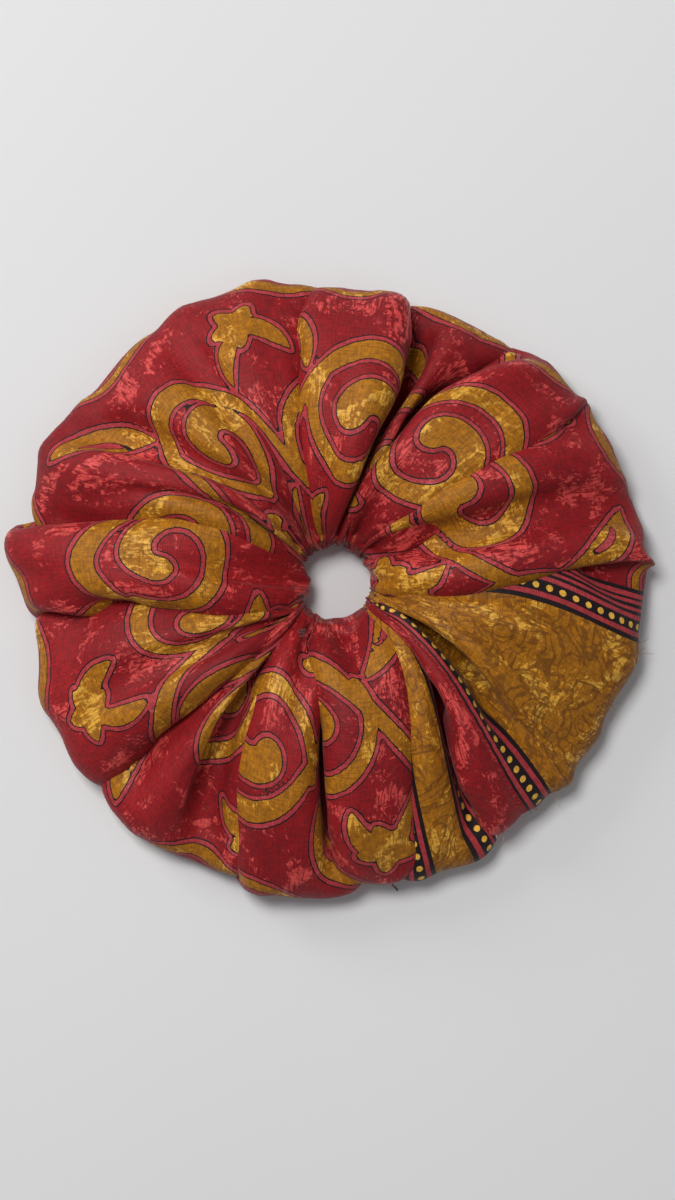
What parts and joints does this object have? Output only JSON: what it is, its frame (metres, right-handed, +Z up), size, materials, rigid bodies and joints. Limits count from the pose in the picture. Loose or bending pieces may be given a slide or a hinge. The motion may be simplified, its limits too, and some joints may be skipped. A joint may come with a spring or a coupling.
{
  "type": "scrunchie",
  "caption": "Extra-large gathered hair scrunchie: a tube of woven silk shirred on a loop of flat elastic, with a round opening that stretches.",
  "frame": {"origin": "centre of the hair opening, on the table under the ring", "axes": "+Z up through the hair opening; +X to the right and +Y away, seen from the front with the strip's joined ends at the front right"},
  "size_m": [0.2071, 0.2029, 0.038],
  "materials": {
    "sari_silk": "satin",
    "elastic_knit": "matte",
    "sewing_thread": "matte"
  },
  "bodies": {
    "left_side": {"cover_left": "sari_silk", "elastic_band": "elastic_knit", "elastic_join_stitches": "sewing_thread", "long_seam_left": "sewing_thread", "seam_knot": "sewing_thread"},
    "right_side": {"cover_right": "sari_silk", "long_seam_right": "sewing_thread", "closing_seam_stitches": "sewing_thread", "thread_tail": "sewing_thread", "frayed_threads": "sewing_thread"}
  },
  "joints": [
    {"name": "elastic_stretch", "type": "slide", "parent": "left_side", "child": "right_side", "axis": [1, 0, 0], "range_m": [0, 0.07], "stiffness_N_per_m": 80, "deforming": ["elastic_band"]}
  ]
}
